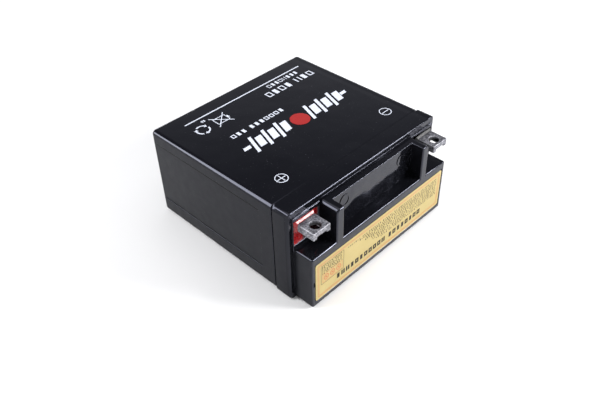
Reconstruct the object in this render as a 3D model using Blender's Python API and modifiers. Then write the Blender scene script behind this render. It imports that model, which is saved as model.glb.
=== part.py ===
"""Sealed 12 V motorcycle battery, lying on its back.

X runs along the battery's length. -Y is the terminal side, which is the top of the battery once it
is installed, and +Z comes out of the large front face. The origin is under the middle of the
battery, on the plane it lies on. A height up the installed battery, from its base to its terminals,
is called a rise here, and y_at turns it into Y.
"""

import math

import bmesh
import bpy
from mathutils import Matrix, Vector

# Driving dimensions, in metres
LENGTH = 0.1200
RISE = 0.1232
DEPTH = 0.0602
WALL = 0.0022
GAP = 0.0003

# Container and its six cells
CELLS = 6
COVER_PROUD = 0.0005
DRAFT = 0.0003
SEAM_RISE = 0.0995
FLOOR = 0.0025
PARTITION = 0.0014
CASE_EDGE = 0.0026
BASE_EDGE = 0.0022
PANEL_LOW, PANEL_HIGH = 0.0111, 0.0518
PANEL_RISE = 0.0885
PANEL_SINK = 0.0003

# Cover
RIM_RISE = 0.1101
COVER_EDGE = 0.0007
DECK = 0.0025
END_CHAMFER_WIDTH, END_CHAMFER_RISE = 0.0010, 0.0024
CURB_RISE = 0.1110
CURB_OUT = 0.0572
CURB_FRONT = 0.0564
LEDGE_RISE = 0.1152
LEDGE_FRONT = 0.0572
FIN_IN, FIN_OUT = 0.0326, 0.0380
FIN_SIDE_EDGE, FIN_TIP_EDGE = 0.0024, 0.0010
BLOCK_HALF = 0.0565
BLOCK_BACK, BLOCK_FRONT = 0.0010, 0.0358
BLOCK_EDGE = 0.0010

# Vent block: label recess, channel, necks and relief valves
LABEL_HALF = 0.0541
LABEL_BACK, LABEL_FRONT = 0.0045, 0.0306
LABEL_THICKNESS = 0.00015
STRIP_THICKNESS = 0.0015
STRIP_EDGE = 0.0003
CHANNEL_HALF = 0.0536
CHANNEL_BACK, CHANNEL_FRONT = 0.0064, 0.0286
NECK_PITCH = 0.0190
NECK_CENTRE = 0.0175
NECK_RADIUS, NECK_BORE = 0.0046, 0.0030
NECK_RISE = 0.1165
VALVE_RADIUS = 0.0058
VALVE_TOP = 0.0014
VALVE_CHAMFER = 0.0006
VALVE_SKIRT_RISE = 0.1120
NOTCH_WIDTH, NOTCH_LENGTH, NOTCH_SINK = 0.0030, 0.0012, 0.0011

# Terminals
LUG_CENTRE = 0.0490
LUG_WIDTH = 0.0121
LUG_FRONT, LUG_BACK = 0.0529, 0.0483
LUG_PLATE = 0.0032
LUG_FLANGE = 0.0025
LUG_ROOT_RISE = 0.1082
LUG_WEB_RISE = 0.1130
LUG_PAD_RISE = 0.1128
LUG_ROOT_DROP = 0.0003
LUG_EDGE = 0.00035
BOLT_RISE = 0.1185
BOLT_HOLE = 0.0031
BUSH_RADIUS = 0.0052
BUSH_RISE, BUSH_TOP_RISE = 0.1042, 0.1086
POST_RADIUS = 0.0044
WELL_IN, WELL_OUT = 0.0392, 0.0565
WELL_BACK, WELL_FRONT = 0.0389, 0.0541
WELL_RISE = 0.1054
TUB_WALL = 0.0014
TUB_RISE = 0.1032
SEAL_RISE = 0.1105
COLLAR_RISE = 0.1122
COLLAR_WIDTH = 0.0005

# Plates, straps and links
POSITIVE_PLATE = 0.0025
NEGATIVE_PLATE = 0.0019
MAT = 0.0010
PLATE_HALF_WIDTH = 0.0248
PLATE_FOOT_RISE, PLATE_TOP_RISE = 0.0032, 0.0830
MAT_HALF_WIDTH = 0.0260
MAT_TOP_RISE = 0.0845
STRAP_RISE, STRAP_TOP_RISE = 0.0865, 0.0900
STRAP_IN, STRAP_OUT = 0.0100, 0.0215
TAB_IN, TAB_OUT = 0.0120, 0.0195
TAB_BITE = 0.0010
TAB_SHARE = 0.8
LINK_RADIUS = 0.0032
LINK_TOP_RISE = 0.0985
LINK_WELD_RISE = 0.0944
LINK_FLAG = 0.0022

MERGE = 0.00001
FLAT = math.radians(0.5)
ROUND = 32
COARSE_ROUND = 16
CORNER_STEPS = 5

LUG_MIDDLE = (LUG_FRONT + LUG_BACK) / 2
WELL_MIDDLE = (WELL_FRONT + WELL_BACK) / 2
CASE_BACK = COVER_PROUD
CASE_FRONT = DEPTH - COVER_PROUD
CASE_HALF = LENGTH / 2 - COVER_PROUD
MIDDLE_Z = DEPTH / 2
CELL_PITCH = (2 * (CASE_HALF - WALL) + PARTITION) / CELLS
CELL_WIDTH = CELL_PITCH - PARTITION
DECK_UNDER_RISE = RIM_RISE - DECK

SHELL_BLACK = (0.0125, 0.0128, 0.0148, 1.0)
LEAD_GREY = (0.30, 0.30, 0.33, 1.0)


def y_at(rise):
    return RISE / 2 - rise


def remove_old_objects():
    for old in list(bpy.data.objects):
        bpy.data.objects.remove(old, do_unlink=True)


def new_collection(name):
    made = bpy.data.collections.new(name)
    bpy.context.scene.collection.children.link(made)
    return made


def material(name, colour, roughness, metallic=0.0):
    made = bpy.data.materials.new(name)
    made.use_nodes = True
    shader = made.node_tree.nodes["Principled BSDF"]
    shader.inputs["Base Color"].default_value = colour
    shader.inputs["Roughness"].default_value = roughness
    shader.inputs["Metallic"].default_value = metallic
    return made


def solid(name, mesh_builder, finish=None):
    """An object made from a bmesh: a part if it has a finish, a cutter or a joined piece if not."""
    shape = bmesh.new()
    mesh_builder(shape)
    mesh = bpy.data.meshes.new(name)
    shape.to_mesh(mesh)
    shape.free()
    made = bpy.data.objects.new(name, mesh)
    if finish is None:
        tools.objects.link(made)
        made.hide_render = True
        made.display_type = "WIRE"
    else:
        battery.objects.link(made)
        mesh.materials.append(finish)
    return made


def add_box(shape, x_range, rise_range, z_range):
    """A box between two X, two rises and two Z."""
    centre = Vector((sum(x_range) / 2, y_at(sum(rise_range) / 2), sum(z_range) / 2))
    size = [abs(high - low) for low, high in (x_range, rise_range, z_range)]
    place = Matrix.Translation(centre) @ Matrix.Diagonal((*size, 1.0))
    return bmesh.ops.create_cube(shape, size=1.0, matrix=place)["verts"]


def add_barrel(shape, x, z, rise_range, radius):
    """A cylinder whose axis runs along Y, from one rise to another."""
    middle = Vector((x, y_at(sum(rise_range) / 2), z))
    place = Matrix.Translation(middle) @ Matrix.Rotation(math.radians(90), 4, "X")
    depth = rise_range[1] - rise_range[0]
    bmesh.ops.create_cone(
        shape, cap_ends=True, segments=ROUND, radius1=radius, radius2=radius, depth=depth, matrix=place
    )


def boxes(name, ranges, finish=None):
    def build(shape):
        for x_range, rise_range, z_range in ranges:
            add_box(shape, x_range, rise_range, z_range)

    return solid(name, build, finish)


def barrels(name, rows, finish=None):
    def build(shape):
        for x, z, rise_range, radius in rows:
            add_barrel(shape, x, z, rise_range, radius)

    return solid(name, build, finish)


def combine(target, tool, operation):
    step = target.modifiers.new(operation.lower() + "_" + tool.name, "BOOLEAN")
    step.operation = operation
    step.solver = "EXACT"
    step.object = tool


def cut(target, tool):
    combine(target, tool, "DIFFERENCE")


def join(target, tool):
    combine(target, tool, "UNION")


def round_edges(target, width, angle=40.0):
    step = target.modifiers.new("rounded_edges", "BEVEL")
    step.width = width
    step.segments = 1
    step.limit_method = "ANGLE"
    step.angle_limit = math.radians(angle)


def bevel_where(shape, width, segments, wanted):
    """Rounds the edges for which wanted(start, end) is true."""
    edges = [edge for edge in shape.edges if wanted(edge.verts[0].co, edge.verts[1].co)]
    bmesh.ops.bevel(shape, geom=edges, offset=width, segments=segments, profile=0.5, affect="EDGES")


def along_y(start, end):
    return abs(start.y - end.y) > MERGE


def at_rise(rise):
    """A test for the edges that lie in the plane at a rise."""
    return lambda start, end: all(abs(place.y - y_at(rise)) < MERGE for place in (start, end))


def smooth(target, angle=35.0):
    target.data.shade_smooth()
    target.data.set_sharp_from_angle(angle=math.radians(angle))


def cell_centre(cell):
    return (cell - (CELLS - 1) / 2) * CELL_PITCH


def partition_centre(partition):
    return cell_centre(partition) + CELL_PITCH / 2


def positive_side(cell):
    """+1 where a cell's positive strap is on the front half, -1 where it is on the back half."""
    return 1 if cell % 2 == 0 else -1


def strap_middle(side):
    return MIDDLE_Z + side * (STRAP_IN + STRAP_OUT) / 2


def make_container():
    def outside(shape):
        verts = add_box(shape, (-CASE_HALF, CASE_HALF), (0, SEAM_RISE - GAP), (CASE_BACK, CASE_FRONT))
        for vert in verts:
            if vert.co.y > 0:
                vert.co.z += DRAFT if vert.co.z < MIDDLE_Z else -DRAFT
        bevel_where(shape, CASE_EDGE, CORNER_STEPS, along_y)
        bevel_where(shape, BASE_EDGE, CORNER_STEPS - 1, at_rise(0))

    def link_holes(shape):
        for partition in range(CELLS - 1):
            add_link_barrel(shape, partition, LINK_RADIUS + GAP, PARTITION * 2)

    cells = [
        (
            (cell_centre(cell) - CELL_WIDTH / 2, cell_centre(cell) + CELL_WIDTH / 2),
            (FLOOR, SEAM_RISE + WALL),
            (CASE_BACK + WALL, CASE_FRONT - WALL),
        )
        for cell in range(CELLS)
    ]
    panels = [
        (
            (side * (CASE_HALF - PANEL_SINK), side * (CASE_HALF + WALL)),
            (-WALL, PANEL_RISE),
            (PANEL_LOW, PANEL_HIGH),
        )
        for side in (-1, 1)
    ]
    container = solid("container", outside, black_gloss)
    cut(container, boxes("cell_hollows", cells))
    cut(container, boxes("side_panels", panels))
    cut(container, solid("link_holes", link_holes))
    smooth(container)


def add_link_barrel(shape, partition, radius, length):
    side = -positive_side(partition)
    middle = Vector((partition_centre(partition), y_at(LINK_WELD_RISE), strap_middle(side)))
    place = Matrix.Translation(middle) @ Matrix.Rotation(math.radians(90), 4, "Y")
    bmesh.ops.create_cone(
        shape,
        cap_ends=True,
        segments=COARSE_ROUND,
        radius1=radius,
        radius2=radius,
        depth=length,
        matrix=place,
    )


def make_cover():
    def flange(shape):
        add_box(shape, (-LENGTH / 2, LENGTH / 2), (SEAM_RISE, RIM_RISE), (0, DEPTH))
        bevel_where(shape, CASE_EDGE, CORNER_STEPS, along_y)
        bevel_where(shape, COVER_EDGE, CORNER_STEPS - 2, at_rise(RIM_RISE))

    cover = solid("cover", flange, black_gloss)

    def block(shape):
        add_box(shape, (-BLOCK_HALF, BLOCK_HALF), (RIM_RISE - WALL, RISE), (BLOCK_BACK, BLOCK_FRONT))
        bevel_where(shape, BLOCK_EDGE, CORNER_STEPS - 2, lambda a, b: min(a.y, b.y) < y_at(RIM_RISE))

    join(cover, solid("vent_block", block))
    cut(cover, make_end_chamfer("positive_end_chamfer", -1))
    cut(cover, make_end_chamfer("negative_end_chamfer", 1))
    join(cover, make_centre_step())
    join(cover, boxes("terminal_curbs", curbs()))
    hollow_cover(cover)
    cut_label_recess_and_channel(cover)
    add_necks_and_tubs(cover)
    smooth(cover)


def outline_solid(name, points, z_range):
    """A flat outline of (x, rise) points given a thickness along Z, as a mesh that can be joined or cut."""
    curve = bpy.data.curves.new(name + "_outline", "CURVE")
    curve.dimensions = "2D"
    curve.fill_mode = "BOTH"
    curve.extrude = (z_range[1] - z_range[0]) / 2
    spline = curve.splines.new("POLY")
    spline.points.add(len(points) - 1)
    spline.use_cyclic_u = True
    for point, (x, rise) in zip(spline.points, points):
        point.co = (x, y_at(rise), 0.0, 1.0)
    outline = bpy.data.objects.new(name + "_outline", curve)
    tools.objects.link(outline)
    outline.location.z = sum(z_range) / 2
    bpy.context.view_layer.update()
    graph = bpy.context.evaluated_depsgraph_get()
    mesh = bpy.data.meshes.new_from_object(outline.evaluated_get(graph))
    place = outline.matrix_world.copy()
    bpy.data.objects.remove(outline, do_unlink=True)

    def build(shape):
        shape.from_mesh(mesh)
        bmesh.ops.remove_doubles(shape, verts=shape.verts, dist=MERGE)
        bmesh.ops.dissolve_limit(shape, angle_limit=FLAT, verts=shape.verts, edges=shape.edges)

    made = solid(name, build)
    made.matrix_world = place
    return made


def make_end_chamfer(name, side):
    """A cutter that slopes off the long edge between an end of the cover and its top."""
    slope = END_CHAMFER_WIDTH / END_CHAMFER_RISE
    over = END_CHAMFER_RISE / 2
    outline = [
        (side * (LENGTH / 2 - END_CHAMFER_WIDTH - slope * over), RIM_RISE + over),
        (side * (LENGTH / 2 + slope * over), RIM_RISE - END_CHAMFER_RISE - over),
        (side * (LENGTH / 2 + slope * over), RIM_RISE + over),
    ]
    return outline_solid(name, outline, (-WALL, DEPTH + WALL))


def curbs():
    """The low raised borders round the two terminal wells."""
    return [
        (
            (side * (FIN_OUT - FIN_SIDE_EDGE), side * CURB_OUT),
            (RIM_RISE - DECK / 2, CURB_RISE),
            (BLOCK_FRONT - BLOCK_EDGE, CURB_FRONT),
        )
        for side in (-1, 1)
    ]


def make_centre_step():
    """The raised middle between the terminal pockets, with a fin at each end: a U from the front."""
    foot = RIM_RISE - WALL
    outline = [
        (-FIN_OUT, foot),
        (FIN_OUT, foot),
        (FIN_OUT, RISE),
        (FIN_IN, RISE),
        (FIN_IN, LEDGE_RISE),
        (-FIN_IN, LEDGE_RISE),
        (-FIN_IN, RISE),
        (-FIN_OUT, RISE),
    ]
    made = outline_solid("centre_step", outline, (BLOCK_FRONT - WALL, LEDGE_FRONT))
    shape = bmesh.new()
    shape.from_mesh(made.data)
    tip = y_at(RISE)
    front_z = (LEDGE_FRONT - BLOCK_FRONT + WALL) / 2

    def fin_outer_front(start, end):
        return all(abs(abs(v.x) - FIN_OUT) < MERGE and abs(v.z - front_z) < MERGE for v in (start, end))

    def fin_tip(start, end):
        return all(abs(v.y - tip) < MERGE for v in (start, end))

    bevel_where(shape, FIN_SIDE_EDGE, CORNER_STEPS - 1, fin_outer_front)
    bevel_where(shape, FIN_TIP_EDGE, CORNER_STEPS - 2, fin_tip)
    shape.to_mesh(made.data)
    shape.free()
    return made


def hollow_cover(cover):
    """Opens the cover from below and leaves ribs over the container's partitions."""
    hollows = [
        (
            (cell_centre(cell) - CELL_WIDTH / 2, cell_centre(cell) + CELL_WIDTH / 2),
            (SEAM_RISE - WALL, DECK_UNDER_RISE),
            (CASE_BACK + WALL, CASE_FRONT - WALL),
        )
        for cell in range(CELLS)
    ]
    step_hollow = (
        (-FIN_IN + WALL, FIN_IN - WALL),
        (DECK_UNDER_RISE - WALL, LEDGE_RISE - WALL),
        (BLOCK_FRONT + WALL, LEDGE_FRONT - WALL),
    )
    cut(cover, boxes("cover_hollows", hollows))
    cut(cover, boxes("centre_step_hollow", [step_hollow]))


def cut_label_recess_and_channel(cover):
    label_floor = RISE - LABEL_THICKNESS - GAP - STRIP_THICKNESS - GAP
    recess = (
        (-LABEL_HALF - GAP, LABEL_HALF + GAP),
        (label_floor, RISE + WALL),
        (LABEL_BACK - GAP, LABEL_FRONT + GAP),
    )
    notch = (
        (-LABEL_HALF - GAP - NOTCH_LENGTH, -LABEL_HALF + GAP),
        (RISE - NOTCH_SINK, RISE + WALL),
        (NECK_CENTRE - NOTCH_WIDTH / 2, NECK_CENTRE + NOTCH_WIDTH / 2),
    )
    channel = (
        (-CHANNEL_HALF, CHANNEL_HALF),
        (RIM_RISE, label_floor + WALL / 2),
        (CHANNEL_BACK, CHANNEL_FRONT),
    )
    cut(cover, boxes("label_recess", [recess]))
    cut(cover, boxes("strip_notch", [notch]))
    cut(cover, boxes("vent_channel", [channel]))


def neck_positions():
    return [(cell - (CELLS - 1) / 2) * NECK_PITCH for cell in range(CELLS)]


def add_necks_and_tubs(cover):
    """A filling neck over each cell, and a tub under each terminal pocket that holds the resin."""
    necks = [(x, NECK_CENTRE, (DECK_UNDER_RISE, NECK_RISE), NECK_RADIUS) for x in neck_positions()]
    tubs = [
        (
            (side * (WELL_IN - TUB_WALL), side * (WELL_OUT + TUB_WALL)),
            (TUB_RISE, RIM_RISE - GAP),
            (WELL_BACK - TUB_WALL, WELL_FRONT + TUB_WALL),
        )
        for side in (-1, 1)
    ]
    wells = [
        ((side * WELL_IN, side * WELL_OUT), (WELL_RISE, RIM_RISE + WALL), (WELL_BACK, WELL_FRONT))
        for side in (-1, 1)
    ]
    bores = [(x, NECK_CENTRE, (TUB_RISE, NECK_RISE + WALL), NECK_BORE) for x in neck_positions()]
    bores += [
        (side * LUG_CENTRE, WELL_MIDDLE, (TUB_RISE - WALL, WELL_RISE + WALL), BUSH_RADIUS + GAP)
        for side in (-1, 1)
    ]
    join(cover, barrels("necks", necks))
    join(cover, boxes("tubs", tubs))
    cut(cover, boxes("wells", wells))
    cut(cover, barrels("bores", bores))


def make_vent_strip_and_label():
    strip_top = RISE - LABEL_THICKNESS - GAP
    strip = boxes(
        "vent_strip",
        [((-LABEL_HALF, LABEL_HALF), (strip_top - STRIP_THICKNESS, strip_top), (LABEL_BACK, LABEL_FRONT))],
        dark_plastic,
    )
    round_edges(strip, STRIP_EDGE)
    boxes(
        "precaution_label",
        [((-LABEL_HALF, LABEL_HALF), (RISE - LABEL_THICKNESS, RISE), (LABEL_BACK, LABEL_FRONT))],
        label_yellow,
    )


def make_relief_valves():
    """Rubber caps over the necks, turned from a profile of (radius, rise) points."""
    inner_radius = NECK_RADIUS + GAP
    under = NECK_RISE + GAP
    top = under + VALVE_TOP
    profile = [
        (0.0, top),
        (VALVE_RADIUS - VALVE_CHAMFER, top),
        (VALVE_RADIUS, top - VALVE_CHAMFER),
        (VALVE_RADIUS, VALVE_SKIRT_RISE),
        (inner_radius, VALVE_SKIRT_RISE),
        (inner_radius, under),
        (0.0, under),
    ]

    def build(shape):
        points = [shape.verts.new((radius, 0.0, rise)) for radius, rise in profile]
        for pair in zip(points, points[1:]):
            shape.edges.new(pair)

    for number, x in enumerate(neck_positions(), start=1):
        valve = solid("relief_valve_%d" % number, build, rubber_black)
        valve.location = (x, y_at(0), NECK_CENTRE)
        valve.rotation_euler = (math.radians(90), 0, 0)
        turn = valve.modifiers.new("turned", "SCREW")
        turn.steps = ROUND
        turn.render_steps = ROUND
        turn.use_merge_vertices = True
        turn.merge_threshold = MERGE


def make_terminal(name, side):
    """A cast lug with a pocket under its plate for the nut, and a round bush at its root.

    The flat pad that a cable lies on ends just outside the resin: the root falls away from it.
    """
    left = side * LUG_CENTRE - LUG_WIDTH / 2
    right = side * LUG_CENTRE + LUG_WIDTH / 2
    pad_end = Vector((0, y_at(LUG_PAD_RISE), 0))

    def body(shape):
        add_box(shape, (left, right), (LUG_ROOT_RISE, RISE), (LUG_BACK, LUG_FRONT))
        geometry = shape.verts[:] + shape.edges[:] + shape.faces[:]
        bmesh.ops.bisect_plane(shape, geom=geometry, plane_co=pad_end, plane_no=(0, 1, 0))
        for vert in shape.verts:
            if vert.co.y > pad_end.y + MERGE and vert.co.z > LUG_MIDDLE:
                vert.co.z -= LUG_ROOT_DROP

    nut_pocket = (
        (left + LUG_FLANGE, right - LUG_FLANGE),
        (LUG_WEB_RISE, RISE + WALL),
        (LUG_BACK - WALL, LUG_FRONT - LUG_PLATE),
    )
    lug = solid(name, body, lead_cast)
    cut(lug, boxes(name + "_nut_pocket", [nut_pocket]))
    bush_x = side * LUG_CENTRE
    join(lug, barrels(name + "_bush", [(bush_x, WELL_MIDDLE, (BUSH_RISE, BUSH_TOP_RISE), BUSH_RADIUS)]))

    def bolt_hole(shape):
        place = Matrix.Translation((bush_x, y_at(BOLT_RISE), LUG_FRONT))
        bmesh.ops.create_cone(
            shape,
            cap_ends=True,
            segments=ROUND,
            radius1=BOLT_HOLE,
            radius2=BOLT_HOLE,
            depth=4 * LUG_PLATE,
            matrix=place,
        )

    cut(lug, solid(name + "_bolt_hole", bolt_hole))
    round_edges(lug, LUG_EDGE)
    smooth(lug)


def make_seal(name, side, finish):
    """Resin in the terminal well, with a collar where it climbs up the lug."""
    body = (
        (side * (WELL_IN + GAP), side * (WELL_OUT - GAP)),
        (WELL_RISE + GAP, SEAL_RISE),
        (WELL_BACK + GAP, WELL_FRONT - GAP),
    )
    seal = boxes(name, [body], finish)
    middle = Vector((side * LUG_CENTRE, 0, LUG_MIDDLE))
    half_x = LUG_WIDTH / 2 + GAP
    half_z = (LUG_FRONT - LUG_BACK) / 2 + GAP

    def collar(shape):
        foot_x, foot_z = half_x + GAP, half_z + COLLAR_WIDTH
        verts = add_box(
            shape,
            (middle.x - foot_x, middle.x + foot_x),
            (WELL_RISE + WALL, COLLAR_RISE),
            (middle.z - foot_z, middle.z + foot_z),
        )
        for vert in verts:
            if vert.co.y < y_at(SEAL_RISE):
                vert.co.z = middle.z + (vert.co.z - middle.z) * (half_z + GAP) / foot_z

    join(seal, solid(name + "_collar", collar))
    lug_space = (
        (middle.x - half_x, middle.x + half_x),
        (LUG_ROOT_RISE - GAP, RISE),
        (middle.z - half_z, middle.z + half_z),
    )
    cut(seal, boxes(name + "_lug_space", [lug_space]))
    bush_space = (middle.x, WELL_MIDDLE, (BUSH_RISE, BUSH_TOP_RISE + GAP), BUSH_RADIUS + GAP)
    cut(seal, barrels(name + "_bush_space", [bush_space]))


def make_post(name, side):
    """A post that leans forward from the middle of its strap to the bush of its lug."""
    rises = (STRAP_TOP_RISE + GAP, BUSH_RISE - GAP)
    post = barrels(name, [(side * LUG_CENTRE, strap_middle(1), rises, POST_RADIUS)], lead_cast)
    for vert in post.data.vertices:
        if vert.co.y < y_at(sum(rises) / 2):
            vert.co.z += WELL_MIDDLE - strap_middle(1)
    smooth(post)


def plate_layout(cell):
    """Centres along X of the cell's negative plates, positive plates and the four mats between them."""
    thicknesses = [NEGATIVE_PLATE, MAT, POSITIVE_PLATE, MAT] * 2 + [NEGATIVE_PLATE]
    total = sum(thicknesses) + GAP * (len(thicknesses) - 1)
    x = cell_centre(cell) - total / 2
    centres = []
    for thickness in thicknesses:
        centres.append(x + thickness / 2)
        x += thickness + GAP
    return centres[0::4], centres[2::4], centres[1::2]


def make_plate_group(name, cell, centres, thickness, side, finish):
    """Plates side by side, a tab on each and a cast strap over the tabs."""
    half = thickness / 2
    plates = [
        (
            (x - half, x + half),
            (PLATE_FOOT_RISE, PLATE_TOP_RISE),
            (MIDDLE_Z - PLATE_HALF_WIDTH, MIDDLE_Z + PLATE_HALF_WIDTH),
        )
        for x in centres
    ]
    group = boxes(name, plates, finish)
    near, far = sorted((MIDDLE_Z + side * TAB_IN, MIDDLE_Z + side * TAB_OUT))
    tabs = [
        (
            (x - half * TAB_SHARE, x + half * TAB_SHARE),
            (PLATE_TOP_RISE - TAB_BITE, STRAP_RISE + TAB_BITE),
            (near, far),
        )
        for x in centres
    ]
    join(group, boxes(name + "_tabs", tabs))
    near, far = sorted((MIDDLE_Z + side * STRAP_IN, MIDDLE_Z + side * STRAP_OUT))
    reach = CELL_WIDTH / 2 - GAP
    x = cell_centre(cell)
    strap = [((x - reach, x + reach), (STRAP_RISE, STRAP_TOP_RISE), (near, far))]
    join(group, boxes(name + "_strap", strap))


def make_separator(name, centres):
    """Glass mat folded to and fro between the plates, as an open strip given its thickness."""

    def build(shape):
        path = []
        for index, x in enumerate(centres):
            ends = (-MAT_HALF_WIDTH, MAT_HALF_WIDTH) if index % 2 == 0 else (MAT_HALF_WIDTH, -MAT_HALF_WIDTH)
            path += [(x, MIDDLE_Z + ends[0]), (x, MIDDLE_Z + ends[1])]
        verts = [shape.verts.new((x, y_at(PLATE_FOOT_RISE), z)) for x, z in path]
        edges = [shape.edges.new(pair) for pair in zip(verts, verts[1:])]
        made = bmesh.ops.extrude_edge_only(shape, edges=edges)["geom"]
        moved = [item for item in made if isinstance(item, bmesh.types.BMVert)]
        bmesh.ops.translate(shape, verts=moved, vec=(0, PLATE_FOOT_RISE - MAT_TOP_RISE, 0))

    separator = solid(name, build, glass_mat)
    thicken = separator.modifiers.new("mat_thickness", "SOLIDIFY")
    thicken.thickness = MAT
    thicken.offset = 0
    thicken.use_even_offset = True


def make_cell_link(partition):
    """A link through a partition: a flag on each strap and the weld between them."""
    side = -positive_side(partition)
    x = partition_centre(partition)
    near, far = sorted((MIDDLE_Z + side * TAB_IN, MIDDLE_Z + side * TAB_OUT))
    inner = PARTITION / 2 + GAP
    flags = [
        (
            (x + direction * inner, x + direction * (inner + LINK_FLAG)),
            (STRAP_TOP_RISE + GAP, LINK_TOP_RISE),
            (near, far),
        )
        for direction in (-1, 1)
    ]
    link = boxes("cell_link_%d" % (partition + 1), flags, lead_cast)

    def weld(shape):
        add_link_barrel(shape, partition, LINK_RADIUS, PARTITION + 2 * GAP + LINK_FLAG)

    join(link, solid("weld_%d" % (partition + 1), weld))


def make_cells():
    for cell in range(CELLS):
        negatives, positives, mats = plate_layout(cell)
        side = positive_side(cell)
        number = cell + 1
        make_plate_group("positive_plates_%d" % number, cell, positives, POSITIVE_PLATE, side, plate_brown)
        make_plate_group("negative_plates_%d" % number, cell, negatives, NEGATIVE_PLATE, -side, plate_grey)
        make_separator("separator_%d" % number, mats)
    for partition in range(CELLS - 1):
        make_cell_link(partition)


remove_old_objects()
battery = new_collection("motorcycle_battery")
tools = new_collection("cutters_and_joined_shapes")

black_gloss = material("black_gloss_plastic", SHELL_BLACK, 0.28)
dark_plastic = material("dark_plastic", (0.02, 0.02, 0.022, 1.0), 0.5)
rubber_black = material("black_rubber", (0.015, 0.015, 0.015, 1.0), 0.7)
lead_cast = material("cast_lead", LEAD_GREY, 0.5, 0.8)
plate_brown = material("positive_paste", (0.08, 0.035, 0.02, 1.0), 0.85)
plate_grey = material("negative_paste", (0.20, 0.20, 0.21, 1.0), 0.8)
glass_mat = material("glass_mat", (0.80, 0.80, 0.78, 1.0), 0.95)
label_yellow = material("label_paper", (0.90, 0.78, 0.38, 1.0), 0.45)
resin_red = material("red_resin", (0.30, 0.008, 0.010, 1.0), 0.3)
resin_black = material("black_resin", (0.02, 0.02, 0.022, 1.0), 0.3)

make_container()
make_cover()
make_vent_strip_and_label()
make_relief_valves()
make_terminal("terminal_positive", -1)
make_terminal("terminal_negative", 1)
make_seal("seal_positive", -1, resin_red)
make_seal("seal_negative", 1, resin_black)
make_post("post_positive", -1)
make_post("post_negative", 1)
make_cells()
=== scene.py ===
"""Looks of the sealed 12 V motorcycle battery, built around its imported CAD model.

The battery lies on its back: X runs along its length, -Y is the terminal side, and +Z comes out of
its large front face. A rise is a height up the installed battery, measured from its base along -Y.
"""

import math
import random

import bmesh
import bpy
from mathutils import Matrix, Vector, noise


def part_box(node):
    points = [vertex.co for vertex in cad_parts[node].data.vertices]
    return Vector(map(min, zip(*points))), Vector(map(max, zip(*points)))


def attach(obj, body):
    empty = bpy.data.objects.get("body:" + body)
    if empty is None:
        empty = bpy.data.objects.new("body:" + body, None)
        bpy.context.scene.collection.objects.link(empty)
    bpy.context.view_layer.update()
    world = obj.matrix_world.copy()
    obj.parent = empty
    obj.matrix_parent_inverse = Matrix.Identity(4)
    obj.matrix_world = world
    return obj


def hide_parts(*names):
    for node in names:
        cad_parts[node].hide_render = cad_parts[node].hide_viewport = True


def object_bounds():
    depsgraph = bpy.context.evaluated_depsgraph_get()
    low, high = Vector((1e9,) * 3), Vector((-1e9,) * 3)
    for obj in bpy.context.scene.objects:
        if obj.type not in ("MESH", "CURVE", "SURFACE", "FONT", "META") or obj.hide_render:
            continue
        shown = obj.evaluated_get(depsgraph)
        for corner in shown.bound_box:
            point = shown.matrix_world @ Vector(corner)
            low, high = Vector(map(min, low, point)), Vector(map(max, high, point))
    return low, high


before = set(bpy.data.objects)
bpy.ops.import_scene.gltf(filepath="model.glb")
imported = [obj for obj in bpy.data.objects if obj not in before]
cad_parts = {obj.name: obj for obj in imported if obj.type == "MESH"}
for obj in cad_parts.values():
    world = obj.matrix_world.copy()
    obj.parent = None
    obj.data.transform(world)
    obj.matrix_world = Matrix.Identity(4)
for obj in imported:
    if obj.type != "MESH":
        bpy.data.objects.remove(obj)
cad_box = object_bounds()

# Sizes are in metres. Those without MM belong to outlines drawn in millimetres.
MM = 0.001
BODY = "battery"
case_low, case_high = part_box("container")
label_low, label_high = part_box("precaution_label")
BASE_Y = case_high.y
DEPTH_MIDDLE = (cad_box[0][2] + cad_box[1][2]) / 2

# Camera
CAMERA_PLACE = Vector((-0.2292, -0.2291, 0.2788))
CAMERA_AIM = Vector((-0.0225, -0.0242, 0.0306))
CAMERA_ROLL = math.radians(-1.37)
LENS = 40.46
SENSOR_WIDTH = 36.0

# Studio. A softbox is a name, the direction it stands in, its distance, width, height and power.
SOFTBOXES = (
    ("key_softbox", (0.54, -0.70, 0.47), 0.75, 0.27, 0.19, 6.5),
    ("rim_softbox", (-0.65, 0.54, 0.54), 0.80, 0.34, 0.70, 5.6),
    ("top_softbox", (0.0, 0.0, 1.0), 1.30, 1.6, 1.6, 9.5),
)
FLOOR_REACH = 3.0
HORIZON = (0.22, (0.85, 0.86, 0.88, 1.0))
OVERHEAD = (0.62, (0.06, 0.06, 0.07, 1.0))

# Cleaning of the CAD meshes
MERGE = 0.001 * MM
FLAT = math.radians(0.4)

# Rounding of the shells. A share is a part of the full width, SHELL_BEVEL.
SHELL_BEVEL = 0.42 * MM
ROUNDED_ABOVE = math.radians(50)
SHARP_ABOVE = math.radians(40)
HOLLOW_SHARE = 0.12
LONG_HOLLOW_SHARE = 0.95
SEAM_SHARE = 0.15
STEP_SHARE = 0.42
SMALL_STEP = 0.25 * MM
FRONT_CHAMFER = 0.44 * MM
FRONT_EDGE_LENGTH = 10 * MM
FRONT_EDGE_FROM = 50 * MM
SQUARE = 0.95

# Seam between container and cover
SEAM_RISE = 99.35 * MM
SEAM_RADIUS = 0.14 * MM
SEAM_WANDER = 0.10 * MM
SEAM_CORNER = 2.3
SEAM_POINT_GAP = 1.2 * MM
GROOVE_RISE = 98.1 * MM
GROOVE_STEP = 0.05 * MM
GROOVE_DEPTH = Vector((0.80, 0, 0.06)) * MM
GROOVE_REACH = 1.6 * GROOVE_DEPTH + Vector((1, 0, 1)) * MM / 2

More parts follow.
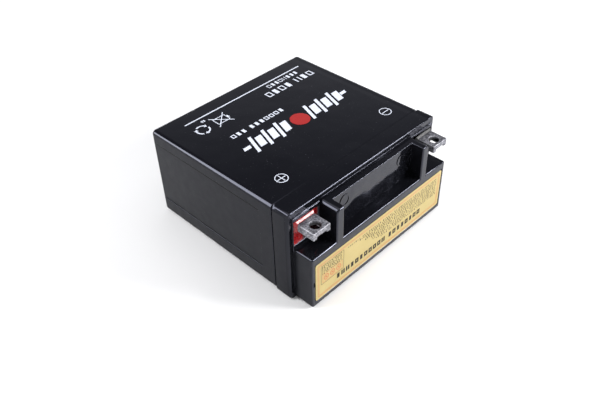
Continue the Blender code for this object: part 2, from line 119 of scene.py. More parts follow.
# Skin of the shells
COOL = (0.76, 0.79, 1.0, 1.0)
OUTER_FROM, OUTER_TO = 54 * MM, 55 * MM
RECESS_WALL_RISE = 115.2 * MM
SINK_X = 54.5 * MM
SINK_WIDTH = 3.2 * MM
FRONT_GRAIN = 0.12
SHINE, SHADED_POCKET_SHINE = 0.5, 0.06
SATIN_DULLING = 0.34

# Marks of the mould: the sunk end panels, with painted shade lines along their steps, and the ejector
# pins
PANEL_SINK = 0.3 * MM
PANEL_EDGES = (11.35, 51.1)
PANEL_SHADE_WIDTH = 0.45
PANEL_LOW, PANEL_RISE = 1.5, 88.0
EJECTOR_X, EJECTOR_Z = 23.5, 50.8
EJECTOR_RADII = (3.7, 3.0)
EJECTOR_HEIGHT = 0.32 * MM

# Prints. Lean, gap and share are parts of a height or a letter.
INK = 0.03 * MM
LEAN = -0.34
WORD_GAP = 0.6
LETTER_SHARE = 0.74
LABEL_THICKNESS = 0.14 * MM
LABEL_CORNER = 1.2

# Lugs and resin
LUG_VOXEL = 0.18 * MM
CAST_ROUGHNESS = 0.085 * MM
PIT_DEPTH = 0.18 * MM
WEAR_FROM, WEAR_STRENGTH = 0.03, 6.0
LUG_HEIGHT = 4.6 * MM
BOLT_RISE = 118.5 * MM
BOLT_RADIUS = 3.1 * MM
BORE_LIT = 1.3 * MM
RESIN_STEP = 0.20 * MM
RESIN_LEVEL = 110.45 * MM
RESIN_CREEP, CREEP_REACH = 0.20 * MM, 0.4 * MM
RESIN_RIPPLE = 0.10 * MM
RESIN_SHARP_ABOVE = math.radians(60)
# Painted shade on the resin: where it starts towards the fin, and how far it fades in
RESIN_SHADE_FROM = 51.0 * MM
RESIN_SHADE_OVER = 2.0 * MM
WELL_GAP = Vector((0.3, 0, 0.3)) * MM
LUG_ROOT = 112.15 * MM
LUG_SLOPE = 0.88


def y_at(rise):
    """The Y of a rise."""
    return BASE_Y - rise


# ---------------------------------------------------------------- materials


class Finish:
    """A procedural material: a Principled shader, and short calls that add nodes in front of it."""

    def __init__(self, name, **fixed):
        self.material = bpy.data.materials.new(name)
        self.material.use_nodes = True
        self.tree = self.material.node_tree
        self.shader = self.tree.nodes["Principled BSDF"]
        for socket, value in fixed.items():
            self.shader.inputs[socket.replace("_", " ")].default_value = value
        self.coordinates = self.tree.nodes.new("ShaderNodeTexCoord")

    def feed(self, socket, value):
        """Links an input to an output, or gives it a fixed value."""
        if isinstance(value, bpy.types.NodeSocket):
            self.tree.links.new(value, socket)
        else:
            socket.default_value = value

    def node(self, kind, inputs, **settings):
        made = self.tree.nodes.new("ShaderNode" + kind)
        for name, value in settings.items():
            setattr(made, name, value)
        for name, value in inputs.items():
            self.feed(made.inputs[name], value)
        return made

    def place(self, stretch=(1, 1, 1)):
        """Object coordinates in metres, stretched along the axes."""
        inputs = {"Vector": self.coordinates.outputs["Object"], "Scale": stretch}
        return self.node("Mapping", inputs).outputs["Vector"]

    def noise(self, scale, detail=2.0, stretch=(1, 1, 1), rough=0.5):
        inputs = {"Vector": self.place(stretch), "Scale": scale, "Detail": detail, "Roughness": rough}
        return self.node("TexNoise", inputs).outputs["Fac"]

    def cracks(self, scale):
        """The distance to the nearest line of a crackle."""
        inputs = {"Vector": self.place(), "Scale": scale}
        return self.node("TexVoronoi", inputs, feature="DISTANCE_TO_EDGE").outputs["Distance"]

    def spread(self, value, low, high, to_low=0.0, to_high=1.0):
        """A value taken from one range to another, and kept inside it."""
        inputs = {"Value": value, "From Min": low, "From Max": high, "To Min": to_low, "To Max": to_high}
        return self.node("MapRange", inputs).outputs["Result"]

    def uneven(self, scale, detail, low, high):
        """A value that wanders between two others."""
        return self.spread(self.noise(scale, detail), 0.3, 0.7, low, high)

    def maths(self, operation, first, second):
        made = self.node("Math", {}, operation=operation)
        self.feed(made.inputs[0], first)
        self.feed(made.inputs[1], second)
        return made.outputs["Value"]

    def blend(self, share, first, second):
        """A colour between two others, by share from 0 to 1."""
        made = self.node("Mix", {}, data_type="RGBA")
        named = {"Factor": share, "A": first, "B": second}
        for socket in made.inputs:
            if socket.enabled and socket.name in named:
                value = named[socket.name]
                self.feed(socket, (*value, 1.0) if isinstance(value, tuple) else value)
        return next(output for output in made.outputs if output.enabled)

    def stored(self, name):
        """A value that the mesh code kept on each vertex."""
        return self.node("Attribute", {}, attribute_name=name).outputs["Fac"]

    def part_of(self, output, axis):
        """One axis of a texture coordinate."""
        return self.node("SeparateXYZ", {"Vector": self.coordinates.outputs[output]}).outputs[axis]

    def distance_from(self, axis, middle):
        """How far a point is, along an axis, from a plane across that axis."""
        offset = self.maths("SUBTRACT", self.part_of("Object", axis), middle)
        return self.maths("ABSOLUTE", offset, 0.0)

    def facing_ends(self):
        """1 on the walls that face along X, and 0 elsewhere."""
        sideways = self.maths("ABSOLUTE", self.part_of("Normal", "X"), 0.0)
        return self.spread(sideways, 0.80, 0.95)

    def end_walls(self):
        """1 on the battery's outer walls that face along X, and 0 elsewhere."""
        outer = self.spread(self.distance_from("X", 0.0), OUTER_FROM, OUTER_TO)
        return self.maths("MULTIPLY", self.facing_ends(), outer)

    def inner_sides(self):
        """1 on the walls that face along X inside the terminal pockets, and 0 elsewhere."""
        inner = self.spread(self.distance_from("X", 0.0), OUTER_FROM, OUTER_TO, 1.0, 0.0)
        return self.maths("MULTIPLY", self.facing_ends(), inner)

    def recess_wall(self):
        """1 on the wall between the fins, which came wavy out of the mould, and 0 elsewhere."""
        depth = self.distance_from("Y", y_at(RECESS_WALL_RISE))
        near = self.spread(depth, 0.1 * MM, 0.4 * MM, 1.0, 0.0)
        facing = self.spread(self.part_of("Normal", "Y"), -0.99, -0.95, 1.0, 0.0)
        return self.maths("MULTIPLY", near, facing)

    def set(self, socket, value):
        """Drives an input of the shader."""
        self.tree.links.new(value, self.shader.inputs[socket])

    def bump(self, *layers):
        """Layers of (height, depth in metres), from the finest to the broadest."""
        normal = None
        for height, depth in layers:
            inputs = {"Height": height, "Distance": depth}
            if normal is not None:
                inputs["Normal"] = normal
            normal = self.node("Bump", inputs).outputs["Normal"]
        self.set("Normal", normal)


def moulded_black():
    """Glossy black polypropylene with satin end walls, slow waves in the skin and a little dust, and
    painted shade on the walls inside the terminal pockets, which reflect almost nothing.
    """
    finish = Finish("moulded_black", IOR=1.52, Specular_Tint=COOL)
    side = finish.end_walls()
    broad = finish.noise(28, 2)
    dust = finish.maths("MULTIPLY", finish.spread(finish.noise(1500, 1), 0.755, 0.78), 0.5)
    tone = finish.blend(broad, (0.0040, 0.0042, 0.0058), (0.0060, 0.0063, 0.0084))
    finish.set("Base Color", finish.blend(dust, tone, (0.085, 0.087, 0.10)))
    gloss = finish.uneven(60, 3, 0.07, 0.12)
    satin = finish.uneven(220, 3, 0.32, 0.40)
    finish.set("Roughness", finish.spread(side, 0.0, 1.0, gloss, satin))
    # Painted shade: the walls inside the terminal pockets reflect almost nothing, so they stay dark.
    shine = finish.spread(finish.inner_sides(), 0.0, 1.0, SHINE, SHADED_POCKET_SHINE)
    dulling = finish.maths("MULTIPLY", side, SATIN_DULLING)
    finish.set("Specular IOR Level", finish.maths("SUBTRACT", shine, dulling))
    grain = finish.maths("MULTIPLY", finish.noise(2600, 2), finish.maths("ADD", side, FRONT_GRAIN))
    waves = finish.maths("MULTIPLY", finish.noise(70, 1), finish.recess_wall())
    sink = finish.spread(finish.distance_from("X", SINK_X), 0.0, SINK_WIDTH)
    finish.bump(
        (grain, 0.010 * MM),
        (finish.noise(150, 2), 0.020 * MM),
        (broad, 0.30 * MM),
        (waves, 0.7 * MM),
        (sink, 0.05 * MM),
    )
    return finish.material


def plain_black_plastic():
    """The moulded strip under the label: the same plastic with a satin skin."""
    finish = Finish("satin_black_plastic", IOR=1.49)
    tone = finish.blend(finish.noise(90, 3), (0.012, 0.012, 0.013), (0.022, 0.022, 0.025))
    finish.set("Base Color", tone)
    finish.set("Roughness", finish.uneven(300, 3, 0.38, 0.55))
    finish.bump((finish.noise(2200, 2), 0.012 * MM))
    return finish.material


def cast_lead(name, dark, light, edge):
    """Dull cast lead: crystal-fine mottling, oxide patches, edges rubbed bright, and painted shade deep
    in a bolt hole.
    """
    finish = Finish(name, Metallic=0.75)
    speckle = finish.noise(1000, 2, rough=0.7)
    patches = finish.noise(330, 4)
    tone = finish.blend(finish.spread(patches, 0.35, 0.65), dark, light)
    tone = finish.blend(finish.spread(speckle, 0.53, 0.66, 0.0, 0.6), tone, (0.62, 0.62, 0.66))
    tone = finish.blend(finish.spread(speckle, 0.47, 0.34, 0.0, 0.8), tone, (0.05, 0.05, 0.06))
    tone = finish.blend(finish.stored("worn"), tone, edge)
    # Painted shade: the bolt hole's wall turns nearly black with depth below its lit rim.
    finish.set("Base Color", finish.blend(finish.stored("painted_bore_shade"), tone, (0.02, 0.02, 0.022)))
    finish.set("Roughness", finish.spread(patches, 0.3, 0.7, 0.34, 0.55))
    finish.bump((speckle, 0.10 * MM), (finish.noise(700, 2), 0.14 * MM))
    return finish.material


def painted_seam_shade():
    """Painted shade for the weld's bead and the panel lines: a near-black, dull colour that stands in for
    the shade in the groove.
    """
    finish = Finish("painted_seam_shade", IOR=1.3)
    tone = finish.blend(finish.noise(300, 2), (0.001, 0.001, 0.001), (0.003, 0.003, 0.003))
    finish.set("Base Color", tone)
    finish.set("Roughness", finish.uneven(500, 2, 0.6, 0.8))
    return finish.material


def resin(name, deep, bright, smooth, dull):
    """Casting resin: glossy and uneven in colour, with painted shade, kept as thin, that turns it nearly
    black towards the fin and behind the lug.
    """
    finish = Finish(name, IOR=1.50)
    tone = finish.blend(finish.noise(260, 3), deep, bright)
    finish.set("Base Color", finish.blend(finish.stored("thin"), tone, (0.012, 0.003, 0.004)))
    finish.set("Roughness", finish.spread(finish.noise(500, 2), 0.3, 0.7, smooth, dull))
    finish.bump((finish.noise(900, 2), 0.03 * MM), (finish.noise(240, 2), 0.10 * MM))
    return finish.material


def label_paper():
    """Pale yellow sticker with a faint mottle and a slightly wavy surface."""
    finish = Finish("label_paper", IOR=1.45)
    mottle = finish.noise(120, 4)
    finish.set("Base Color", finish.blend(mottle, (0.43, 0.338, 0.124), (0.50, 0.400, 0.172)))
    finish.set("Roughness", finish.uneven(700, 2, 0.36, 0.50))
    finish.bump((finish.noise(3000, 2), 0.006 * MM), (finish.noise(110, 2), 0.05 * MM))
    return finish.material


def ink(name, colour, faded, shine=0.5):
    """Screen-printed ink: small pinholes and a slightly uneven film."""
    finish = Finish(name, IOR=1.48, Specular_IOR_Level=shine)
    holes = finish.spread(finish.noise(2400, 2), 0.62, 0.74, 0.0, 0.55)
    film = finish.blend(finish.noise(180, 3), colour, tuple(0.88 * part for part in colour))
    finish.set("Base Color", finish.blend(holes, film, faded))
    finish.set("Roughness", finish.uneven(420, 2, 0.36, 0.52))
    finish.bump((finish.noise(1700, 2), 0.008 * MM))
    return finish.material


def pasted_plate(name, dark, light):
    """Active paste pressed in a lead grid: a lattice of wires under crackled paste."""
    finish = Finish(name)
    lattice = finish.node(
        "TexBrick",
        {"Vector": finish.place(), "Scale": 130.0, "Mortar Size": 0.06, "Mortar Smooth": 0.4},
        offset=0.0,
    )
    crackle = finish.spread(finish.cracks(420), 0.0, 0.06)
    paste = finish.blend(finish.noise(240, 4), dark, light)
    paste = finish.blend(crackle, tuple(0.35 * part for part in dark), paste)
    wire = tuple(0.5 * part + 0.12 for part in light)
    wires = finish.maths("MULTIPLY", lattice.outputs["Fac"], 0.6)
    finish.set("Base Color", finish.blend(wires, paste, wire))
    finish.set("Roughness", finish.uneven(500, 2, 0.75, 0.95))
    finish.bump((finish.noise(2000, 3), 0.03 * MM), (crackle, 0.06 * MM))
    return finish.material


def glass_mat():
    """White glass fibres pressed in a felt, most of them running up the sheet."""
    finish = Finish("glass_mat")
    fibres = finish.noise(900, 4, (1, 0.12, 1), 0.7)
    finish.set("Base Color", finish.blend(fibres, (0.62, 0.62, 0.58), (0.88, 0.88, 0.86)))
    finish.set("Roughness", finish.uneven(300, 2, 0.88, 0.98))
    finish.bump((fibres, 0.10 * MM), (finish.noise(240, 3), 0.15 * MM))
    return finish.material


def valve_rubber():
    """Dull black rubber with a powdery skin."""
    finish = Finish("valve_rubber", IOR=1.5)
    tone = finish.blend(finish.noise(400, 4), (0.010, 0.010, 0.010), (0.024, 0.023, 0.022))
    finish.set("Base Color", tone)
    finish.set("Roughness", finish.uneven(900, 2, 0.6, 0.8))
    finish.bump((finish.noise(2500, 3), 0.02 * MM))
    return finish.material


def pale_floor():
    """A plain pale studio floor, hardly mottled."""
    finish = Finish("pale_floor")
    finish.set("Base Color", finish.blend(finish.noise(3, 2), (0.89, 0.89, 0.90), (0.92, 0.92, 0.92)))
    finish.set("Roughness", finish.uneven(8, 2, 0.85, 0.95))
    return finish.material


# ---------------------------------------------------------------- mesh helpers


def shape_from(mesh):
    """A bmesh of a mesh, with its normals."""
    shape = bmesh.new()
    shape.from_mesh(mesh)
    shape.normal_update()
    return shape


def mesh_from(shape, name):
    """The mesh of a bmesh, which is freed."""
    mesh = bpy.data.meshes.new(name)
    shape.to_mesh(mesh)
    shape.free()
    return mesh


def keep(mesh, name, values, domain="POINT"):
    """Keeps a value for each vertex, or for each edge, under a name."""
    mesh.attributes.new(name, "FLOAT", domain).data.foreach_set("value", values)


def add_object(name, data):
    """An object that holds the data, in the scene."""
    made = bpy.data.objects.new(name, data)
    bpy.context.scene.collection.objects.link(made)
    return made


def add_piece(name, mesh, material):
    """A piece that rides on the battery, with one material."""
    piece = add_object(name, mesh)
    mesh.materials.clear()
    mesh.materials.append(material)
    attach(piece, BODY)
    return piece


def baked(piece):
    """The piece's mesh with its modifiers applied."""
    bpy.context.view_layer.update()
    graph = bpy.context.evaluated_depsgraph_get()
    mesh = bpy.data.meshes.new_from_object(piece.evaluated_get(graph))
    piece.modifiers.clear()
    piece.data = mesh
    return mesh


def node_mesh(node, name, changes=()):
    """A copy of a CAD node's mesh, with its flat faces whole instead of in triangles, and changed."""
    shape = bmesh.new()
    shape.from_mesh(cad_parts[node].data)
    bmesh.ops.remove_doubles(shape, verts=shape.verts, dist=MERGE)
    bmesh.ops.dissolve_limit(
        shape, angle_limit=FLAT, verts=shape.verts, edges=shape.edges, use_dissolve_boundaries=False
    )
    for change in changes:
        change(shape)
    return mesh_from(shape, name)


def step_beside(edge):
    """The length of the shortest edge that leaves this one sideways on either of its faces."""
    along = (edge.verts[1].co - edge.verts[0].co).normalized()
    shortest = 1.0
    for vert in edge.verts:
        for other in vert.link_edges:
            way = other.other_vert(vert).co - vert.co
            if other != edge and abs(way.normalized().dot(along)) < 0.7:
                if any(face in edge.link_faces for face in other.link_faces):
                    shortest = min(shortest, way.length)
    return shortest


def is_long_at_the_front(edge):
    start, end = (vert.co for vert in edge.verts)
    return abs(end.x - start.x) > FRONT_EDGE_LENGTH and start.z > FRONT_EDGE_FROM


def edge_share(edge):
    """How much of the full rounding an edge gets: little along the seam, in hollows and beside steps."""
    if not edge.is_manifold or edge.calc_face_angle() <= ROUNDED_ABOVE:
        return 0.0
    step = step_beside(edge)
    if step <= SMALL_STEP:
        return 0.0
    share = min(1.0, STEP_SHARE * step / SHELL_BEVEL)
    if all(abs(vert.co.y - y_at(SEAM_RISE)) < SHELL_BEVEL for vert in edge.verts):
        share *= SEAM_SHARE
    if not edge.is_convex:
        share *= LONG_HOLLOW_SHARE if is_long_at_the_front(edge) else HOLLOW_SHARE
    return share


def weigh_edges(mesh):
    """Marks how widely the bevel modifier rounds each edge of a moulding."""
    shape = shape_from(mesh)
    shares = [edge_share(edge) for edge in shape.edges]
    shape.free()
    keep(mesh, "bevel_weight_edge", shares, "EDGE")


def moulded_shell(node, name, material, changes=()):
    """A moulding that stands for a CAD node, with small changes and the fine rounding of its edges."""
    piece = add_piece(name, node_mesh(node, name, changes), material)
    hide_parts(node)
    weigh_edges(piece.data)
    rounding = piece.modifiers.new("rounding", "BEVEL")
    rounding.width = SHELL_BEVEL
    rounding.segments = 3
    rounding.limit_method = "WEIGHT"
    rounding.use_clamp_overlap = False
    baked(piece)
    piece.data.shade_smooth()
    piece.data.set_sharp_from_angle(angle=SHARP_ABOVE)
    flat = piece.modifiers.new("flat_faces", "WEIGHTED_NORMAL")
    flat.keep_sharp = True
    return piece


def front_place(x, rise, height):
    """A point on the front face: millimetres along X and up the rise, and a height above the face."""
    return Vector((x * MM, y_at(rise * MM), case_high.z + height))


def label_place(x, z, height):
    """A point on the label, in millimetres along X and Z, and a height above it."""
    return Vector((x * MM, label_low.y - height, z * MM))


def recess_place(x, z, height):
    """A point on the wall between the fins, in millimetres along X and Z, and a height off it."""
    return Vector((x * MM, y_at(RECESS_WALL_RISE) - height, z * MM))


def end_place(side):
    """Places on one end panel, in millimetres up the rise and along Z, and a height off the panel."""

    def place(rise, z, height):
        return Vector((side * (case_high.x - PANEL_SINK + height), y_at(rise * MM), z * MM))

    return place


def rectangle(x0, y0, x1, y1, lean=0.0):
    """A rectangle whose sides lean by lean along X for each unit of height above its middle."""
    middle = (y0 + y1) / 2
    corners = ((x0, y0), (x1, y0), (x1, y1), (x0, y1))
    return [(x + lean * (y - middle), y) for x, y in corners]


def rounded(x0, y0, x1, y1, radius, steps=6):
    """The outline of a rectangle with round corners."""
    points = []
    for index, (cx, cy) in enumerate(((x1, y1), (x0, y1), (x0, y0), (x1, y0))):
        centre_x = cx - radius if index in (0, 3) else cx + radius
        centre_y = cy - radius if index in (0, 1) else cy + radius
        for step in range(steps + 1):
            angle = math.radians(90 * index + 90 * step / steps)
            points.append((centre_x + radius * math.cos(angle), centre_y + radius * math.sin(angle)))
    return points


def arc(x, y, radius, start=0.0, end=360.0, steps=40):
    """Points along part of a circle, from one angle to another in degrees."""
    whole = abs(end - start) >= 360
    count = steps if whole else steps + 1
    angles = [math.radians(start + (end - start) * step / steps) for step in range(count)]
    return [(x + radius * math.cos(angle), y + radius * math.sin(angle)) for angle in angles]


def cross(x, y, reach, width, turn=0.0):
    """The outline of a plus sign, turned by an angle in degrees."""
    half = width / 2
    points = []
    for quarter in range(4):
        spin = Matrix.Rotation(math.radians(turn - 90 * quarter), 2)
        for corner in ((-half, reach), (half, reach), (half, half)):
            point = spin @ Vector(corner)
            points.append((x + point.x, y + point.y))
    return points


def shifted(points, distance, closed):
    """A line of points moved sideways, with mitred corners."""
    moved = []
    count = len(points)
    for index, point in enumerate(points):
        here = Vector(point)
        normals = []
        if closed or index > 0:
            step = here - Vector(points[index - 1])
            normals.append(Vector((-step.y, step.x)).normalized())
        if closed or index < count - 1:
            step = Vector(points[(index + 1) % count]) - here
            normals.append(Vector((-step.y, step.x)).normalized())
        middle = sum(normals, Vector((0, 0))).normalized()
        moved.append(here + middle * distance / max(0.4, middle.dot(normals[0])))
    return [tuple(point) for point in moved]


def stroke(points, width, closed=False):
    """A drawn line as (outline, hole): the hole is there when the line is closed."""
    left = shifted(points, width / 2, closed)
    right = shifted(points, -width / 2, closed)
    if closed:
        return left, right
    return left + right[::-1], None


def flat_print(name, shapes, place, material, height=INK, sink=INK / 3):
    """One piece made of flat shapes of a small height. A shape is (outline, hole or None)."""
    shape = bmesh.new()

    def ring(points, level):
        return [shape.verts.new(place(x, y, level)) for x, y in points]

    for outline, hole in shapes:
        loops = [ring(outline, -sink), ring(outline, height)]
        if hole:
            loops += [ring(hole, height), ring(hole, -sink)]
            loops.append(loops[0])
        for first, second in zip(loops, loops[1:]):
            for index in range(len(first)):
                after = (index + 1) % len(first)
                shape.faces.new((first[index], first[after], second[after], second[index]))
        if not hole:
            shape.faces.new(loops[0])
            shape.faces.new(loops[1][::-1])
    bmesh.ops.recalc_face_normals(shape, faces=shape.faces)
    return add_piece(name, mesh_from(shape, name), material)


def closed_tube_mesh(name, points, radii, sides):
    """A tube through points in a ring, with a radius at each."""
    shape = bmesh.new()
    rings = []
    turns = [2 * math.pi * side / sides for side in range(sides)]
    for index, point in enumerate(points):
        along = (points[(index + 1) % len(points)] - points[index - 1]).normalized()
        out = along.cross(Vector((0, 1, 0))).normalized()
        up = along.cross(out)
        ring = [point + radii[index] * (out * math.cos(turn) + up * math.sin(turn)) for turn in turns]
        rings.append([shape.verts.new(place) for place in ring])
    for first, second in zip(rings, rings[1:] + rings[:1]):
        for side in range(sides):
            after = (side + 1) % sides
            shape.faces.new((first[side], second[side], second[after], first[after]))
    bmesh.ops.recalc_face_normals(shape, faces=shape.faces)
    mesh = mesh_from(shape, name)
    mesh.shade_smooth()
    return mesh


# ---------------------------------------------------------------- shell pieces


def groove_the_seam(shape):
    """Steps the container's walls in, just under the cover, so that the seam is a dark groove."""
    for rise in (GROOVE_RISE, GROOVE_RISE + GROOVE_STEP):
        everything = shape.verts[:] + shape.edges[:] + shape.faces[:]
        bmesh.ops.bisect_plane(
            shape, geom=everything, plane_co=(0, y_at(rise), 0), plane_no=(0, 1, 0)
        )
    middle = (case_low + case_high) / 2
    half = (case_high - case_low) / 2
    inner = half - GROOVE_REACH
    for vert in shape.verts:
        place = vert.co - middle
        outside = abs(place.x) > inner.x or abs(place.z) > inner.z
        if vert.co.y < y_at(GROOVE_RISE + GROOVE_STEP / 2) and outside:
            vert.co.x -= GROOVE_DEPTH.x * place.x / half.x
            vert.co.z -= GROOVE_DEPTH.z * place.z / half.z


def chamfer_the_fronts(shape):
    """Cuts narrow flats on the long edges between the cover's top faces and its front faces."""
    shape.normal_update()
    edges = []
    for edge in shape.edges:
        if is_long_at_the_front(edge) and edge.is_manifold and edge.is_convex:
            faces = sorted(edge.link_faces, key=lambda face: face.normal.y)
            if faces[0].normal.y < -SQUARE and faces[1].normal.z > SQUARE:
                edges.append(edge)
    bmesh.ops.bevel(
        shape, geom=edges, offset=FRONT_CHAMFER, segments=1, affect="EDGES", clamp_overlap=True
    )


def make_shells(black):
    moulded_shell("container", "container_moulding", black, (groove_the_seam,))
    moulded_shell("cover", "cover_moulding", black, (chamfer_the_fronts,))


def seam_path():
    """The line round the case where the cover was welded on."""
    low, high = case_low + GROOVE_DEPTH, case_high - GROOVE_DEPTH
    plan = rounded(low.x / MM, low.z / MM, high.x / MM, high.z / MM, SEAM_CORNER, 12)
    corners = [Vector((x * MM, y_at(SEAM_RISE), z * MM)) for x, z in plan]
    points = []
    for start, end in zip(corners, corners[1:] + corners[:1]):
        parts = max(1, round((end - start).length / SEAM_POINT_GAP))
        points += [start.lerp(end, part / parts) for part in range(parts)]
    return points


def make_seam(painted_shade):
    """Plastic pressed out of the weld between container and cover, as a thin uneven bead in the
    near-black painted seam shade.
    """
    points = seam_path()
    radii = []
    for point in points:
        slow = noise.noise(point * 90)
        quick = noise.noise(point * 420 + Vector((3, 1, 7)))
        radii.append(SEAM_RADIUS * (1 + 0.35 * slow + 0.25 * quick))
        point.y += SEAM_WANDER * slow
    # Painted shade: the bead is near-black so that the seam reads as a dark line.
    add_piece("seam_bead", closed_tube_mesh("seam_bead", points, radii, 8), painted_shade)


def make_mould_marks(black, painted_shade):
    """The round marks of two ejector pins between the fins, and painted shade lines along the edges of
    the sunk end panels.
    """
    shapes = []
    for x in (-EJECTOR_X, EJECTOR_X):
        outer, inner = (arc(x, EJECTOR_Z, radius) for radius in EJECTOR_RADII)
        shapes.append((outer, inner))
    flat_print("ejector_marks", shapes, recess_place, black, EJECTOR_HEIGHT)
    half = PANEL_SHADE_WIDTH / 2
    lines = [(rectangle(PANEL_LOW, z - half, PANEL_RISE, z + half), None) for z in PANEL_EDGES]
    # Painted shade: near-black strips along the panels' steps, in the seam's shade colour.
    for name, side in (("painted_panel_shade_positive", -1), ("painted_panel_shade_negative", 1)):
        flat_print(name, lines, end_place(side), painted_shade)


# ---------------------------------------------------------------- prints


def letter_signs(x0, x1, y0, y1, words, line, draw):
    """A row of small abstract signs in place of lettering, one for each letter of words of given lengths.

    Each is a hollow box, a pair of bars or a solid block, so that the row has the grey of a line of text.
    """
    pitch = (x1 - x0) / (sum(words) + WORD_GAP * (len(words) - 1))
    wide = pitch * LETTER_SHARE
    bar = line * 1.1
    shapes = []
    x = x0
    for length in words:
        for _ in range(length):
            kind = draw.choice(("box", "box", "pair", "block", "block"))
            right = x + wide
            if kind == "box":
                inset = line / 2
                outline = rectangle(x + inset, y0 + inset, right - inset, y1 - inset)
                shapes.append(stroke(outline, line, True))
            elif kind == "pair":
                shapes.append((rectangle(x, y0, x + bar, y1), None))
                shapes.append((rectangle(right - bar, y0, right, y1), None))
            else:
                shapes.append((rectangle(x + wide * 0.15, y0, right - wide * 0.15, y1), None))
            x += pitch
        x += WORD_GAP * pitch
    return shapes


def lean_bar(left, right, middle, reach):
    """A bar that leans like the large word that it stands for."""
    return rectangle(left, middle - reach / 2, right, middle + reach / 2, LEAN)


def cell_symbols(start, end, middle, tall, short):
    """The circuit sign for three cells in a row, each a long thin bar and a short thick one."""
    shapes = []
    pitch = (end - start) / 3
    for cell in range(3):
        x = start + pitch * cell
        for left, right, reach in ((0.06, 0.28, tall), (0.44, 0.92, short)):
            shapes.append((lean_bar(x + left * pitch, x + right * pitch, middle, reach), None))
    return shapes


def make_front_prints(white, red):
    """A large sign of cells in a circuit round a disc, a line, and three rows in place of lettering."""
    middle, tall, short, wire = 54.2, 14.2, 9.0, 2.6
    cells = cell_symbols(-31.0, -2.0, middle, tall, short)
    cells += cell_symbols(12.8, 41.8, middle, tall, short)
    for start, end in ((-37.0, -32.0), (41.4, 46.0)):
        cells.append((lean_bar(start, end, middle, wire), None))
    flat_print("print_cells", cells, front_place, white)
    flat_print("print_disc", [(arc(5.6, 55.2, 6.0, steps=64), None)], front_place, red)
    flat_print("print_line", [(rectangle(-43.9, 11.28, 48.7, 12.12), None)], front_place, white)
    draw = random.Random(3)
    rows = letter_signs(17.3, 43.3, 14.4, 17.6, (8,), 0.42, draw)
    rows += letter_signs(10.1, 50.5, 20.6, 25.6, (4, 3), 0.75, draw)
    rows += letter_signs(-33.6, 7.1, 38.7, 41.9, (3, 7), 0.6, draw)
    flat_print("print_rows", rows, front_place, white)


def make_polarity_marks(white):
    """A minus and a plus, each in a ring, beside the terminals that they name."""
    rise = 86.5
    for name, x in (("mark_minus", 44.5), ("mark_plus", -40.3)):
        if name == "mark_minus":
            sign = rectangle(x - 2.9, rise - 0.24, x + 2.9, rise + 0.24)
        else:
            sign = cross(x, rise, 2.85, 0.46)
        ring = (arc(x, rise, 3.75), arc(x, rise, 3.28))
        flat_print(name, [ring, (sign, None)], front_place, white)


def make_recycling_marks(white):
    """A crossed-out battery outline, and three arrows in a ring: both plain generic signs."""
    x, rise = -25.4, 22.0
    outline = rounded(x - 4.2, rise - 2.9, x + 4.2, rise + 2.9, 0.5)
    shapes = [stroke(outline, 0.5, True)]
    shapes.append((rectangle(x + 4.5, rise - 1.1, x + 5.4, rise + 1.1), None))
    shapes += letter_signs(x - 9.8, x - 6.8, rise - 7.2, rise - 5.4, (2,), 0.35, random.Random(1))
    flat_print("mark_outline", shapes, front_place, white)
    flat_print("mark_cross", [(cross(x, rise, 7.6, 0.55, 45), None)], front_place, white, INK * 1.6)
    x, rise = -39.4, 22.4
    inner, middle, outer = 2.7, 4.0, 5.3
    arrows = []
    for start in (0, 120, 240):
        arrows.append(stroke(arc(x, rise, middle, start, start + 78, 14), 0.9))
        tail, tip = math.radians(start + 80), math.radians(start + 104)
        head = ((inner, tail), (outer, tail), (middle, tip))
        arrows.append(
            ([(x + out * math.cos(angle), rise + out * math.sin(angle)) for out, angle in head], None)
        )
    flat_print("mark_ring", arrows, front_place, white)


# ---------------------------------------------------------------- label


def small_print(start, end, z, size, draw):
    """A row of specks, about one for each letter, in words of different lengths."""
    shapes = []
    x = start
    while x < end - size:
        for _ in range(draw.randint(2, 8)):
            if x > end - size:
                break
            half = size * draw.choice((0.75, 1.0, 1.35)) / 2
            right = x + size * draw.uniform(0.6, 1.0)
            shapes.append((rectangle(x, z - half, right, z + half), None))
            x += size * 1.9
        x += size * 1.3
    return shapes


def make_label(paper, black_ink, grey_ink, orange_ink):
    """The sticker on the vent block, with its border, a heading, rows of small print and a sign box."""
    x0, z0 = label_low.x / MM, label_low.z / MM
    x1, z1 = label_high.x / MM, label_high.z / MM
    outline = rounded(x0, z0, x1, z1, LABEL_CORNER)
    sheet = flat_print("label_sheet", [(outline, None)], label_place, paper, 0.0, LABEL_THICKNESS)
    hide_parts("precaution_label")
    borders = []
    for inset, corner, line in ((1.7, 0.6, 0.32), (2.5, 0.5, 0.20)):
        outline = rounded(x0 + inset, z0 + inset, x1 - inset, z1 - inset, corner)
        borders.append(stroke(outline, line, True))
    flat_print("label_border", borders, label_place, orange_ink)
    draw = random.Random(5)
    heading = letter_signs(-38.0, 36.3, 9.4, 12.8, (11, 8), 1.05, draw)
    flat_print("label_heading", heading, label_place, black_ink)
    rows = []
    for row in range(9):
        z = z1 - 4.4 - 1.35 * row
        start = -29.0 if row == 0 else -22.0 + 2.2 * row + draw.uniform(0, 5)
        rows += small_print(start, 50.2, z, 0.80, draw)
    rows.append(stroke(rounded(-50.0, 13.8, -32.4, 27.1, 0.4), 0.22, True))
    for row in range(6):
        rows += small_print(-49.2, -33.2, 26.2 - 1.05 * row, 0.66, draw)
    flat_print("label_small_print", rows, label_place, grey_ink)
    signs = [stroke(rounded(-48.8, 14.6, -33.6, 20.2, 0.5), 0.25, True)]
    for x in (-46.0, -41.2, -36.4):
        signs.append((arc(x, 17.4, 2.0, steps=28), arc(x, 17.4, 1.45, steps=28)))
        signs.append((cross(x, 17.4, 1.0, 0.55, 45), None))
    flat_print("label_signs", signs, label_place, orange_ink)


